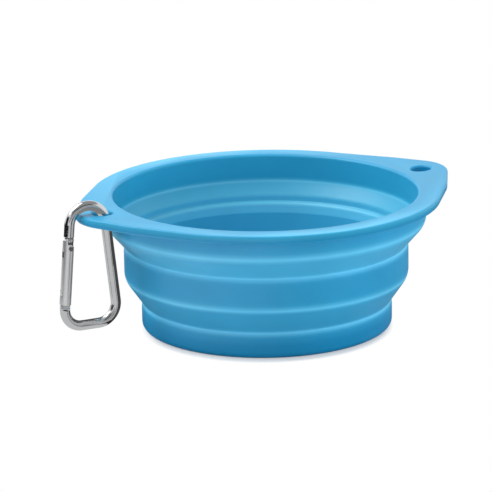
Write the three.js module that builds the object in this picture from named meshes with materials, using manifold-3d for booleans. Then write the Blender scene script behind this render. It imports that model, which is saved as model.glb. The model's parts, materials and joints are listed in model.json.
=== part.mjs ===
// A collapsible silicone pet bowl with two ears, and a carabiner hanging in one of them.
// Millimetres, +Z up. The origin is the centre of the underside, and the ears point along X.
import * as THREE from 'three';
import { mergeVertices } from 'three/addons/utils/BufferGeometryUtils.js';
import Module from 'manifold-3d';

const wasm = await Module();
wasm.setup();

// Bowl heights, from the floor up: three stiff rings with a fold between each two
const baseHeight = 9.9;
const lowerFoldHeight = 9.9;
const middleHeight = 12.4;
const upperFoldHeight = 8.7;
const collarHeight = 10.6;

// Bowl radii, worked out from the collar under the rim, and walls
const collarRadius = 60.5;
const upperStep = 6.8;
const lowerStep = 6.3;
const collarWall = 3.2;
const middleWall = 2.2;
const baseWall = 2.2;
const floorThickness = 2.5;
const footRounding = 2.6;
const floorFillet = 2;

// Each fold: a plain cone outside, and inside two slopes with a small upright riser between them
const riserShareDown = 0.53;
const riserShareIn = 0.5;
const riserHeight = 1.45;
const innerCornerRise = 0.2;
const innerCornerDrop = 1.6;
const seamInset = 2.2;

// Flange and ears: each ear's hole has a land on the bowl's side and a bar on the tip's side
const flangeReach = 5.5;
const flangeThickness = 3.2;
const flangeRounding = 0.8;
const mouthOverlap = 0.05;
const earHoleDiameter = 7.6;
const earLand = 2.3;
const earBar = 5.4;
const earTipRadius = 18;

// Carabiner frame: one bent rod, with two straight legs between an arch and a wide bottom
const carabinerLength = 49;
const rodDiameter = 3.8;
const rodShiftInHole = 1.2;
const archShiftOnBar = 0.5;
const hangingGap = 0.35;
const gateLegSlant = 5;
const spineSlant = 6;
const gateSideBend = 6.5;
const spineSideBend = 7.2;

// Gate, hinged on a rivet below the arch, with its free end at the wide bottom
const gateDiameter = 4.2;
const gateWall = 0.5;
const gateAboveRivet = 3.7;
const rivetDrop = 8.4;
const rivetInset = 0.3;
const rivetDiameter = 1.4;
const rivetRecess = 0.3;
const hingeClearance = 0.25;
const hingeEndGap = 0.7;
const lugWall = 0.65;
const tongueEndWall = 0.45;
const hornWidth = 1.05;

// Nose of the frame: a neck with a round head that lies in the gate's keyhole slot
const noseLength = 1.74;
const noseGap = 0.35;
const neckThickness = 1;
const neckReach = 0.7;
const headClearance = 0.44;
const headAboveGateEnd = 4.2;
const noseClearance = 0.3;

// Gate spring, its plunger and the window beside them
const plungerClearance = 0.4;
const plungerLength = 2.4;
const springPitch = 0.95;
const springWire = 0.4;
const springClearance = 0.3;
const seatGap = 0.3;
const gateWeb = 2.4;
const windowWidth = 1.6;
const windowHeight = 2.2;
const windowDrop = 1.3;

// How finely round shapes are cut
const bowlSegments = 64;
const rodSides = 12;
const rodSteps = 64;
const pinSides = 24;
const arcSteps = 44;
const filletSteps = 16;
const stepsPerCurl = 8;
const wireSides = 5;
const mergeDistance = 1e-4;

const silicone = { color: 0x4fa9d8, roughness: 0.55, metalness: 0 };
const polished = { color: 0xc9cbcc, roughness: 0.16, metalness: 1 };
const satin = { color: 0xb4b6b8, roughness: 0.34, metalness: 1 };
const steel = { color: 0x6a6c70, roughness: 0.4, metalness: 1 };

function toSolid(geometry) {
  geometry.deleteAttribute('normal');
  geometry.deleteAttribute('uv');
  const merged = mergeVertices(geometry, mergeDistance);
  const vertProperties = new Float32Array(merged.attributes.position.array);
  const triVerts = new Uint32Array(merged.index.array);
  return new wasm.Manifold(new wasm.Mesh({ numProp: 3, vertProperties, triVerts }));
}

function toGeometry(solid) {
  const mesh = solid.getMesh();
  const geometry = new THREE.BufferGeometry();
  geometry.setAttribute('position', new THREE.BufferAttribute(mesh.vertProperties, 3));
  geometry.setIndex(new THREE.BufferAttribute(mesh.triVerts, 1));
  return geometry;
}

function node(name, geometry, look) {
  geometry.computeVertexNormals();
  const mesh = new THREE.Mesh(geometry, new THREE.MeshStandardMaterial(look));
  mesh.name = name;
  return mesh;
}

// Points along an arc, both ends included, between two angles in radians
function arc(x, y, radius, from, to, stepsPerTurn) {
  const steps = Math.max(2, Math.ceil((Math.abs(to - from) / (2 * Math.PI)) * stepsPerTurn));
  const points = [];
  for (let i = 0; i <= steps; i += 1) {
    const angle = from + ((to - from) * i) / steps;
    points.push([x + radius * Math.cos(angle), y + radius * Math.sin(angle)]);
  }
  return points;
}

function vectors(points) {
  return points.map(([x, y]) => new THREE.Vector2(x, y));
}

function circleShape(radius, sides) {
  return new THREE.Shape(vectors(arc(0, 0, radius, 0, 2 * Math.PI, sides).slice(0, -1)));
}

// Turns a closed outline of [radius, height] points about the Z axis
function turned(outline) {
  const geometry = new THREE.LatheGeometry(vectors(outline), bowlSegments);
  return geometry.rotateX(Math.PI / 2);
}

// A flat outline in the XZ plane, given a thickness along Y and centred on that plane
function plate(outline, thickness) {
  const shape = new THREE.Shape(vectors(outline));
  const geometry = new THREE.ExtrudeGeometry(shape, { depth: thickness, bevelEnabled: false });
  return geometry.translate(0, 0, -thickness / 2).rotateX(Math.PI / 2);
}

// A pin along one axis, 'x', 'y' or 'z', between two places on it
function pin(diameter, axis, from, to) {
  const geometry = new THREE.CylinderGeometry(diameter / 2, diameter / 2, to - from, pinSides);
  if (axis === 'x') geometry.rotateZ(-Math.PI / 2);
  if (axis === 'z') geometry.rotateX(Math.PI / 2);
  const middle = new THREE.Vector3();
  middle[axis] = (from + to) / 2;
  return geometry.translate(middle.x, middle.y, middle.z);
}

// A block centred on the XZ plane
function block(x0, x1, width, z0, z1) {
  const geometry = new THREE.BoxGeometry(x1 - x0, width, z1 - z0);
  return geometry.translate((x0 + x1) / 2, 0, (z0 + z1) / 2);
}

// Bowl: heights of the ring edges, radii and the three rings that the folds join
const middleBottom = baseHeight + lowerFoldHeight;
const middleTop = middleBottom + middleHeight;
const collarBottom = middleTop + upperFoldHeight;
const bowlHeight = collarBottom + collarHeight;
const middleRadius = collarRadius - upperStep;
const baseRadius = middleRadius - lowerStep;
const rimRadius = collarRadius + flangeReach;
const earHoleOffset = collarRadius + earLand + earHoleDiameter / 2;
const earTip = earHoleOffset + earHoleDiameter / 2 + earBar;
const collarEdge = { radius: collarRadius, wall: collarWall, z: collarBottom };
const middleTopEdge = { radius: middleRadius, wall: middleWall, z: middleTop };
const middleBottomEdge = { radius: middleRadius, wall: middleWall, z: middleBottom };
const baseEdge = { radius: baseRadius, wall: baseWall, z: baseHeight };

// The fold wall between the ring above and the ring below, with a bit of both rings' walls
function foldNode(name, above, below) {
  const aboveInner = above.radius - above.wall;
  const belowInner = below.radius - below.wall;
  const riserRadius = aboveInner - riserShareIn * (aboveInner - belowInner);
  const riserTop = above.z - riserShareDown * (above.z - below.z);
  const outline = [
    [above.radius, above.z + seamInset],
    [aboveInner, above.z + seamInset],
    [aboveInner, above.z + innerCornerRise],
    [riserRadius, riserTop],
    [riserRadius, riserTop - riserHeight],
    [belowInner, below.z - innerCornerDrop],
    [belowInner, below.z - seamInset],
    [below.radius, below.z - seamInset],
    [below.radius, below.z],
    [above.radius, above.z],
    [above.radius, above.z + seamInset],
  ];
  return node(name, turned(outline), silicone);
}

// A plain stretch of wall
function wallRing(radius, wall, bottom, top) {
  const inner = radius - wall;
  return turned([[radius, top], [inner, top], [inner, bottom], [radius, bottom], [radius, top]]);
}

// The flange with its two ears, each a round tip with straight sides that touch the rim circle
function rimOutline() {
  const tipCentre = earTip - earTipRadius;
  const touch = Math.acos((rimRadius - earTipRadius) / tipCentre);
  return [
    ...arc(0, 0, rimRadius, touch, Math.PI - touch, bowlSegments),
    ...arc(-tipCentre, 0, earTipRadius, Math.PI - touch, Math.PI + touch, bowlSegments),
    ...arc(0, 0, rimRadius, Math.PI + touch, 2 * Math.PI - touch, bowlSegments),
    ...arc(tipCentre, 0, earTipRadius, -touch, touch, bowlSegments),
  ];
}

function holePath(x, radius, sides) {
  return new THREE.Path(vectors(arc(x, 0, radius, 0, -2 * Math.PI, sides).slice(0, -1)));
}

function rimNode() {
  const shape = new THREE.Shape(vectors(rimOutline()));
  shape.holes.push(holePath(0, collarRadius - collarWall - mouthOverlap, bowlSegments));
  shape.holes.push(holePath(-earHoleOffset, earHoleDiameter / 2, pinSides));
  shape.holes.push(holePath(earHoleOffset, earHoleDiameter / 2, pinSides));
  const flange = new THREE.ExtrudeGeometry(shape, {
    depth: flangeThickness - 2 * flangeRounding,
    bevelSize: flangeRounding,
    bevelThickness: flangeRounding,
    bevelOffset: -flangeRounding,
    bevelSegments: 2,
  });
  flange.translate(0, 0, bowlHeight - flangeThickness + flangeRounding);
  const collarTop = bowlHeight - flangeThickness / 2;
  const collar = wallRing(collarRadius, collarWall, collarBottom + seamInset, collarTop);
  return node('rim_ring', toGeometry(toSolid(flange).add(toSolid(collar))), silicone);
}

function middleNode() {
  const ring = wallRing(middleRadius, middleWall, middleBottom + seamInset, middleTop - seamInset);
  return node('middle_band', ring, silicone);
}

function baseNode() {
  const inner = baseRadius - baseWall;
  const top = baseHeight - seamInset;
  const down = -Math.PI / 2;
  const outline = [
    [baseRadius, top],
    [inner, top],
    ...arc(inner - floorFillet, floorThickness + floorFillet, floorFillet, 0, down, filletSteps),
    [0, floorThickness],
    [0, 0],
    ...arc(baseRadius - footRounding, footRounding, footRounding, down, 0, filletSteps),
    [baseRadius, top],
  ];
  return node('base_cup', turned(outline), silicone);
}

// Carabiner, in its own plane: x towards the bowl, z up, from the centre of the arch
const archCentre = earTip - earBar / 2 - archShiftOnBar;
const archRadius = archCentre - (earHoleOffset - rodShiftInHole);
const rodRadius = rodDiameter / 2;
const legTurn = THREE.MathUtils.degToRad(gateLegSlant);
const spineTurn = THREE.MathUtils.degToRad(spineSlant);
const bottomLine = -(carabinerLength - archRadius - rodDiameter);

// A point on the gate leg, so far along it below the arch
function onLeg(drop) {
  const x = -archRadius * Math.cos(legTurn) - drop * Math.sin(legTurn);
  const z = archRadius * Math.sin(legTurn) - drop * Math.cos(legTurn);
  return [x, z];
}

// A point on the spine, so far along it below the arch
function onSpine(drop) {
  const x = archRadius * Math.cos(spineTurn) + drop * Math.sin(spineTurn);
  const z = archRadius * Math.sin(spineTurn) - drop * Math.cos(spineTurn);
  return [x, z];
}

// How far below the arch a straight leg ends, where its bend into the bottom begins
function straightDrop(turn, bend) {
  const whole = (archRadius * Math.sin(turn) - bottomLine) / Math.cos(turn);
  return whole - bend * Math.tan((Math.PI / 2 + turn) / 2);
}

const legDrop = straightDrop(legTurn, gateSideBend);
const spineDrop = straightDrop(spineTurn, spineSideBend);
const noseTop = rivetDrop - legDrop + noseLength;
const gateBottom = noseTop + noseGap;
const rodAboveRivet = gateAboveRivet + hingeEndGap;

// The rod's centre line, from the hinge end over the arch, down the spine and round to the nose
function rodPath() {
  const gateBendX = onLeg(legDrop)[0] + gateSideBend * Math.cos(legTurn);
  const spineBendX = onSpine(spineDrop)[0] - spineSideBend * Math.cos(spineTurn);
  const down = -Math.PI / 2;
  const points = [
    onLeg(rivetDrop - rodAboveRivet),
    ...arc(0, 0, archRadius, Math.PI - legTurn, spineTurn, arcSteps),
    ...arc(spineBendX, bottomLine + spineSideBend, spineSideBend, spineTurn, down, arcSteps),
    ...arc(gateBendX, bottomLine + gateSideBend, gateSideBend, down, -Math.PI - legTurn, arcSteps),
    onLeg(rivetDrop - noseTop),
  ];
  const path = new THREE.CurvePath();
  const spots = points.map(([x, z]) => new THREE.Vector3(x, 0, z));
  for (let i = 1; i < spots.length; i += 1) path.add(new THREE.LineCurve3(spots[i - 1], spots[i]));
  return path;
}

// Moves a shape made about the rivet, with its z along the gate leg, into the carabiner's plane
function placeOnLeg(geometry) {
  const [x, z] = onLeg(rivetDrop);
  return geometry.rotateY(legTurn).translate(x, 0, z);
}

const gateBore = gateDiameter - 2 * gateWall;
const boreRadius = gateBore / 2;
const rivetHoleRadius = rivetDiameter / 2 + hingeClearance;
const tongueThickness = boreRadius;
const tongueEndRadius = rivetHoleRadius + tongueEndWall;
const headHeight = gateBottom + headAboveGateEnd;
const headDiameter = 2 * (Math.sqrt(boreRadius ** 2 - neckReach ** 2) - headClearance);

// The flat tongue that the gate hinges on: it stays inside the bore on the gate's outer side
function tongueOutline() {
  const outerEdge = hingeClearance - Math.sqrt(boreRadius ** 2 - (tongueThickness / 2) ** 2);
  const top = rodAboveRivet + rodRadius;
  const down = 1.5 * Math.PI;
  return [
    [outerEdge, top],
    ...arc(rivetInset, 0, rivetInset - outerEdge, Math.PI, down, arcSteps),
    ...arc(rivetInset, 0, tongueEndRadius, down, 2 * Math.PI, arcSteps),
    [rivetInset + tongueEndRadius, top],
  ];
}

function frameNode() {
  const rod = new THREE.ExtrudeGeometry(circleShape(rodRadius, rodSides), {
    steps: rodSteps,
    extrudePath: rodPath(),
    bevelEnabled: false,
  });
  const neckRoot = noseTop - noseLength;
  const head = pin(headDiameter, 'x', -rodRadius, neckReach).translate(0, 0, headHeight);
  const rivetHole = pin(2 * rivetHoleRadius, 'y', -rodDiameter, rodDiameter);
  const joined = [
    plate(tongueOutline(), tongueThickness),
    block(-rodRadius, neckReach, neckThickness, neckRoot, headHeight),
    head,
  ];
  let solid = toSolid(rod);
  for (const piece of joined) solid = solid.add(toSolid(placeOnLeg(piece)));
  solid = solid.subtract(toSolid(placeOnLeg(rivetHole.translate(rivetInset, 0, 0))));
  return node('carabiner_frame', toGeometry(solid), polished);
}

// What is cut off the gate's hinge end: all but a horn on the outer side and a lug at the rivet
function hingeCutOutline() {
  const lugRadius = rivetHoleRadius + lugWall;
  const hornEdge = hornWidth - gateDiameter / 2;
  const beyond = gateDiameter;
  const hornFoot = gateAboveRivet - gateDiameter / 2;
  return [
    [hornEdge, gateAboveRivet + beyond],
    [hornEdge, hornFoot],
    ...arc(rivetInset, 0, lugRadius, Math.PI * (3 / 4), -Math.PI / 3, arcSteps),
    [beyond, -gateDiameter / 2],
    [beyond, gateAboveRivet + beyond],
  ];
}

// Heights of the plunger and the spring below the rivet, along the gate
const plungerTop = -tongueEndRadius - seatGap;
const plungerBottom = plungerTop - plungerLength;
const noseBoreTop = headHeight + headDiameter / 2 + 2 * noseClearance;
const springSeat = noseBoreTop + gateWeb;
const springTop = plungerBottom - seatGap - springWire / 2;
const springRoom = springTop - springSeat - seatGap - springWire / 2;
const springTurns = Math.max(1, Math.floor(springRoom / springPitch));
const springRadius = boreRadius - springClearance - springWire / 2;

function gateNode() {
  const beyond = gateDiameter;
  const top = gateAboveRivet + beyond;
  const bottom = gateBottom - beyond;
  const headHole = pin(headDiameter + 2 * noseClearance, 'x', -beyond, 0);
  const rivetHole = pin(2 * rivetHoleRadius, 'y', -beyond, beyond);
  const windowBottom = -windowDrop - windowHeight;
  const cuts = [
    pin(gateBore, 'z', springSeat, top),
    pin(gateBore, 'z', bottom, noseBoreTop),
    plate(hingeCutOutline(), 2 * beyond),
    block(0, beyond, tongueThickness + 2 * hingeClearance, -gateDiameter / 2, top),
    block(-beyond, 0, neckThickness + 2 * noseClearance, bottom, headHeight),
    headHole.translate(0, 0, headHeight),
    rivetHole.translate(rivetInset, 0, 0),
    block(-beyond, -boreRadius / 2, windowWidth, windowBottom, -windowDrop),
  ];
  let solid = toSolid(pin(gateDiameter, 'z', gateBottom, gateAboveRivet));
  for (const cut of cuts) solid = solid.subtract(toSolid(cut));
  return node('carabiner_gate', placeOnLeg(toGeometry(solid)), satin);
}

function rivetNode() {
  const reach = gateDiameter / 2 - rivetRecess;
  const geometry = pin(rivetDiameter, 'y', -reach, reach).translate(rivetInset, 0, 0);
  return node('gate_rivet', placeOnLeg(geometry), steel);
}

function plungerNode() {
  const geometry = pin(gateBore - 2 * plungerClearance, 'z', plungerBottom, plungerTop);
  return node('gate_plunger', placeOnLeg(geometry), steel);
}

// The wire's centre line, wound down from the plunger
class Helix extends THREE.Curve {
  getPoint(t, target = new THREE.Vector3()) {
    const angle = 2 * Math.PI * springTurns * t;
    const z = springTop - springTurns * springPitch * t;
    return target.set(springRadius * Math.cos(angle), springRadius * Math.sin(angle), z);
  }
}

// The least free gap between one curl of the spring and the next
function springGap(helix) {
  const points = helix.getSpacedPoints(springTurns * stepsPerCurl);
  let least = Infinity;
  for (let i = 0; i < points.length; i += 1) {
    for (let j = i + stepsPerCurl / 2; j < points.length; j += 1) {
      least = Math.min(least, points[i].distanceTo(points[j]));
    }
  }
  return least - springWire;
}

function springNode() {
  const helix = new Helix();
  const geometry = new THREE.ExtrudeGeometry(circleShape(springWire / 2, wireSides), {
    steps: springTurns * stepsPerCurl,
    extrudePath: helix,
    bevelEnabled: false,
  });
  console.log(`least gap between the spring's curls ${springGap(helix).toFixed(2)} mm`);
  return node('gate_spring', placeOnLeg(geometry), steel);
}

// The carabiner hangs with its arch over the bar between the ear's hole and the ear's tip
function carabiner() {
  const group = new THREE.Group();
  group.add(frameNode(), gateNode(), rivetNode(), plungerNode(), springNode());
  const clearRadius = archRadius - rodRadius - hangingGap;
  const rise = Math.sqrt(clearRadius ** 2 - (earTip - archCentre) ** 2);
  group.position.set(-archCentre, 0, bowlHeight - rise);
  return group;
}

const bowl = new THREE.Group();
bowl.add(rimNode());
bowl.add(foldNode('upper_fold', collarEdge, middleTopEdge));
bowl.add(middleNode());
bowl.add(foldNode('lower_fold', middleBottomEdge, baseEdge));
bowl.add(baseNode());

const petBowl = new THREE.Group();
petBowl.add(bowl, carabiner());

export default petBowl;
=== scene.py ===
"""A collapsible silicone pet bowl with two ears and a carabiner, finished around its CAD frame.

Metres, +Z up, in the frame of the CAD model: the bowl stands on z = 0 and its ears lie along X.
"""
import json
import math
from collections import namedtuple

import bmesh
import bpy
from mathutils import Matrix, Vector


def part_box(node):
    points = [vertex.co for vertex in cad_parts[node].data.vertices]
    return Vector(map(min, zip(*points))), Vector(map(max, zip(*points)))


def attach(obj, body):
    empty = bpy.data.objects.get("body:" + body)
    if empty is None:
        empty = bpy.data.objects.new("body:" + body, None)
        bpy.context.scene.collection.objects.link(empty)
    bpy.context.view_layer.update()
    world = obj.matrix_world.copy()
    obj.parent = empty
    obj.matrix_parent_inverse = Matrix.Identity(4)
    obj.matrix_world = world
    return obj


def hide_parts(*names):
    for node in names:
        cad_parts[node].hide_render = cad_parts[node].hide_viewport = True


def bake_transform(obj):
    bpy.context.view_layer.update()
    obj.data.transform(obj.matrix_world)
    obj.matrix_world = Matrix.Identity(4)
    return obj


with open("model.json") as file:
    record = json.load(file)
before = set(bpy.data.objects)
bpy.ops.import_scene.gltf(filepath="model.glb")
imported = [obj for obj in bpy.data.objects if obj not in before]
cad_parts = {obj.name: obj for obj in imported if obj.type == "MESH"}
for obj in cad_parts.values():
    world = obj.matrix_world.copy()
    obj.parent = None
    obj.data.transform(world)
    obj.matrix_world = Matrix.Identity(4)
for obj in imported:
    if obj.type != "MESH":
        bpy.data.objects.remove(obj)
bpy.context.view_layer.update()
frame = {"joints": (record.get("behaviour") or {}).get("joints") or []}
joints = {joint["name"]: joint for joint in frame["joints"]}

MM = 0.001
FULL_TURN = 2 * math.pi

# Bowl: radii and heights that the frame gives
bowl_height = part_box("rim_ring")[1].z
rim_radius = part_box("rim_ring")[1].y
ear_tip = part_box("rim_ring")[1].x
collar_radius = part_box("upper_fold")[1].x
middle_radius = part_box("middle_band")[1].x
base_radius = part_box("base_cup")[1].x
upper_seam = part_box("upper_fold")[1].z
middle_top_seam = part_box("upper_fold")[0].z
middle_bottom_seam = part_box("lower_fold")[1].z
base_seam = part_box("base_cup")[1].z

# Bowl: walls, floor and the shape of a fold
collar_wall = 3.2 * MM
band_wall = 2.2 * MM
floor_thickness = 2.5 * MM
foot_rounding = 2.2 * MM
floor_rounding = 2.0 * MM
seam_inset = 2.2 * MM
inner_seam_shift = 1.2 * MM
notch_depth = 0.5 * MM
notch_rounding = 0.35 * MM
shoulder_depth = 0.15 * MM
shoulder_drop = 0.7 * MM
shoulder_rounding = 0.5 * MM
inner_corner_rise = 0.2 * MM
inner_corner_drop = 2.6 * MM
slope_rounding = 1.3 * MM
inner_foot_rounding = 0.6 * MM
riser_share_down = 0.57
riser_share_in = 0.65
riser_height = 2.25 * MM
riser_rounding = 0.6 * MM
riser_foot_rounding = 0.4 * MM
lip_reach = 1.5 * MM
lip_fall = 0.5 * MM
lip_rounding = 0.9 * MM
rounding_steps = 5
longest_step = 0.7 * MM
longest_base_step = 4 * longest_step
most_halvings = 6
bowl_steps = 192

# Flange and ears
flange_thickness = 3.2 * MM
flange_rounding = 0.9 * MM
mouth_rounding = 1.2 * MM
collar_fillet = 1.0 * MM
ear_tip_radius = 18.0 * MM
ear_side_radius = 42.1 * MM
ear_side_centre = 30.0 * MM
ear_hole_radius = 3.8 * MM
ear_hole_offset = 66.6 * MM
ear_hole_rounding = 1.0 * MM
ear_hole_steps = 64
ear_curl = 1.3 * MM
ear_curl_start = 58.0 * MM

# Limits that the tools work with
cut_margin = 0.01 * MM
merge_distance = MM / 1000
flat_angle = math.radians(0.2)
soft_edge_angle = math.radians(35)
smooth_angle = math.radians(40)

# Carabiner: the bent rod
arch_centre = Vector(joints["carabiner_swing"]["pos_m"])
arch_radius = 7.2 * MM
rod_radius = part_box("carabiner_frame")[1].y
carabiner_length = 49.0 * MM
leg_turn = math.radians(5)
spine_turn = math.radians(6)
gate_side_bend = 6.5 * MM
spine_side_bend = 7.2 * MM
rod_sides = 40
arch_steps = 40
bend_steps = 24
rod_end_rounding = 0.25 * MM
rod_end_steps = 3

# Carabiner: the gate with its hinge, latch, plunger and spring
gate_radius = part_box("carabiner_gate")[1].y
gate_bore_radius = 1.6 * MM
gate_above_rivet = 3.7 * MM
rivet_drop = 8.4 * MM
rivet_inset = 0.3 * MM
rivet_radius = 0.7 * MM
rivet_hole_radius = 0.95 * MM
rivet_recess = 0.3 * MM
rivet_softening = 0.2 * MM
rod_above_rivet = 4.0 * MM
knuckle_bottom = 2.45 * MM
knuckle_top = 3.35 * MM
knuckle_back = -0.85 * MM
tongue_thickness = 1.6 * MM
tongue_end_radius = 1.4 * MM
tongue_heel_share = 0.95
tongue_softening = 0.12 * MM
collar_softening = 0.15 * MM
lug_radius = 1.6 * MM
lug_heel_in = 0.7 * lug_radius
lug_heel_up = 0.9 * lug_radius
lug_nose_up = 0.3 * lug_radius
lug_rounding = 0.4 * MM
lug_nose_rounding = 0.6 * MM
horn_width = 1.05 * MM
horn_chamfer_drop = 0.8 * MM
horn_foot_rounding = 0.5 * MM
hinge_clearance = 0.25 * MM
nose_length = 1.74 * MM
nose_gap = 0.12 * MM
runout_radius = 2.2 * MM
neck_thickness = 1.0 * MM
neck_reach = 0.7 * MM
head_radius = 1.0 * MM
head_above_gate_end = 4.2 * MM
nose_clearance = 0.3 * MM
window_width = 1.6 * MM
window_height = 2.2 * MM
window_drop = 1.3 * MM
seat_gap = 0.3 * MM
gate_web = 2.4 * MM
gate_softening = 0.08 * MM
gate_sides = 64
pin_sides = 48
plunger_length = 2.4 * MM
plunger_radius = 1.2 * MM
plunger_dome_radius = 0.8 * plunger_radius
plunger_dome_drop = 0.6 * MM
plunger_dome_rounding = 0.3 * MM
plunger_foot_rounding = 0.15 * MM
plunger_steps = 32
spring_pitch = 0.95 * MM
spring_wire_radius = 0.2 * MM
spring_radius = 1.1 * MM
spring_wire_sides = 10
spring_steps = 20

# Bowl: the ridges on its folds, and the edges of its rings
Ridge = namedtuple("Ridge", "flare drop rounding")
upper_ridge = Ridge(flare=-0.4 * MM, drop=0.8 * MM, rounding=1.5 * MM)
lower_ridge = Ridge(flare=0.05 * MM, drop=0.0, rounding=2.0 * MM)
Ring = namedtuple("Ring", "radius inner edge")
collar_ring = Ring(collar_radius, collar_radius - collar_wall, upper_seam - seam_inset)
middle_top_ring = Ring(middle_radius, middle_radius - band_wall, middle_top_seam + seam_inset)
middle_bottom_ring = Ring(middle_radius, middle_radius - band_wall, middle_bottom_seam - seam_inset)
base_ring = Ring(base_radius, base_radius - band_wall, base_seam + seam_inset)


# Working by hand: selecting, drawing and cutting

def object_mode():
    bpy.ops.object.mode_set(mode="OBJECT")


def edit_mode():
    bpy.ops.object.mode_set(mode="EDIT")


def new_piece(name):
    """Names the primitive that was just added and opens it for editing, all selected."""
    piece = bpy.context.object
    piece.name = name
    piece.data.name = name
    bpy.ops.object.transform_apply(location=True, rotation=True, scale=True)
    edit_mode()
    bpy.ops.mesh.select_mode(type="VERT")
    bpy.ops.mesh.select_all(action="SELECT")
    return piece


def only(piece):
    """Leaves edit mode with this one object selected and active."""
    if bpy.context.object and bpy.context.object.mode == "EDIT":
        object_mode()
    bpy.ops.object.select_all(action="DESELECT")
    piece.select_set(True)
    bpy.context.view_layer.objects.active = piece


def select(piece, kind, test):
    """In edit mode, selects the verts, edges or faces that pass a test."""
    bpy.ops.mesh.select_mode(type=kind)
    bpy.ops.mesh.select_all(action="DESELECT")
    shape = bmesh.from_edit_mesh(piece.data)
    items = {"VERT": shape.verts, "EDGE": shape.edges, "FACE": shape.faces}[kind]
    for item in items:
        if test(item):
            item.select_set(True)
    shape.select_flush_mode()
    bmesh.update_edit_mesh(piece.data)


def draw_outline(name, corners, closed=True):
    """Draws a wire outline in the XZ plane. Each corner is x, z and its rounding."""
    bpy.ops.object.select_all(action="DESELECT")
    bpy.ops.mesh.primitive_plane_add(size=MM)
    piece = new_piece(name)
    bpy.ops.mesh.merge(type="CENTER")
    spots = [Vector((corner[0], 0, corner[1])) for corner in corners]
    bpy.ops.transform.translate(value=spots[0])
    for before, after in zip(spots, spots[1:]):
        bpy.ops.mesh.extrude_vertices_move(TRANSFORM_OT_translate={"value": after - before})
    if closed:
        ends = (spots[0], spots[-1])
        select(piece, "VERT", lambda vert: any((vert.co - end).length < cut_margin for end in ends))
        bpy.ops.mesh.edge_face_add()
    for rounding in sorted({corner[2] for corner in corners if corner[2]}):
        rounded = [spot for spot, corner in zip(spots, corners) if corner[2] == rounding]
        select(piece, "VERT", lambda vert: any((vert.co - spot).length < cut_margin for spot in rounded))
        bpy.ops.mesh.bevel(offset=rounding, segments=rounding_steps, affect="VERTICES")
    return piece


def split_long_edges(piece, longest):
    """Halves the outline's edges that are longer than this, again and again."""
    for halving in range(most_halvings):
        select(piece, "EDGE", lambda edge: edge.calc_length() > longest)
        bpy.ops.mesh.subdivide(number_cuts=1)


def close_up(piece):
    """Merges doubled points and turns all faces outwards."""
    bpy.ops.mesh.select_all(action="SELECT")
    bpy.ops.mesh.remove_doubles(threshold=merge_distance)
    bpy.ops.mesh.normals_make_consistent(inside=False)
    only(piece)


def spin_outline(piece, steps):
    """Spins the drawn outline round the Z axis into a closed solid."""
    bpy.ops.mesh.select_all(action="SELECT")
    bpy.ops.mesh.spin(steps=steps, angle=FULL_TURN, center=(0, 0, 0), axis=(0, 0, 1))
    close_up(piece)


def turned(name, corners, steps, closed=True, longest=None):
    piece = draw_outline(name, corners, closed)
    if longest:
        split_long_edges(piece, longest)
    spin_outline(piece, steps)
    return piece


def extruded(name, corners, thickness):
    """A plate of an XZ outline, with its thickness along Y and centred on that plane."""
    piece = draw_outline(name, corners)
    bpy.ops.mesh.select_all(action="SELECT")
    bpy.ops.transform.translate(value=(0, -thickness / 2, 0))
    bpy.ops.mesh.edge_face_add()
    bpy.ops.mesh.extrude_region_move(TRANSFORM_OT_translate={"value": (0, thickness, 0)})
    close_up(piece)
    return piece


def pin(name, radius, axis, start, end, sides=pin_sides):
    """A pin along X, Y or Z between two places on that axis."""
    turn = {"X": (0, math.pi / 2, 0), "Y": (math.pi / 2, 0, 0), "Z": (0, 0, 0)}[axis]
    middle = Vector([(start + end) / 2 if letter == axis else 0 for letter in "XYZ"])
    bpy.ops.object.select_all(action="DESELECT")
    bpy.ops.mesh.primitive_cylinder_add(
        vertices=sides, radius=radius, depth=end - start, location=middle, rotation=turn)
    piece = new_piece(name)
    only(piece)
    return piece


def block(name, low, high):
    """A box between two corners, or a flat sheet if they share a coordinate."""
    bpy.ops.object.select_all(action="DESELECT")
    bpy.ops.mesh.primitive_cube_add(size=1, location=(low + high) / 2, scale=high - low)
    piece = new_piece(name)
    only(piece)
    return piece


def place(piece, matrix):
    """Moves a finished shape to its place and writes the place into its mesh."""
    only(piece)
    piece.matrix_world = matrix
    bpy.ops.object.transform_apply(location=True, rotation=True, scale=True)
    return piece


def moved(piece, x=0.0, y=0.0, z=0.0):
    return place(piece, Matrix.Translation((x, y, z)))


def combine(piece, tool, operation):
    """Joins a tool shape to a piece, or cuts it away, and deletes the tool."""
    only(piece)
    modifier = piece.modifiers.new(operation, "BOOLEAN")
    modifier.operation = operation
    modifier.solver = "EXACT"
    modifier.object = tool
    bpy.ops.object.modifier_apply(modifier=modifier.name)
    bpy.data.objects.remove(tool)


def cut(piece, tool):
    combine(piece, tool, "DIFFERENCE")


def join(piece, tool):
    combine(piece, tool, "UNION")


def soften_edges(piece, width):
    only(piece)
    modifier = piece.modifiers.new("softened edges", "BEVEL")
    modifier.width = width
    modifier.segments = 2
    modifier.limit_method = "ANGLE"
    modifier.angle_limit = soft_edge_angle
    bpy.ops.object.modifier_apply(modifier=modifier.name)


def smooth(piece, weighted):
    only(piece)
    bpy.ops.object.shade_smooth_by_angle(angle=smooth_angle)
    if weighted:
        modifier = piece.modifiers.new("flat faces stay flat", "WEIGHTED_NORMAL")
        modifier.keep_sharp = True
        bpy.ops.object.modifier_apply(modifier=modifier.name)


# Bowl

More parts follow.
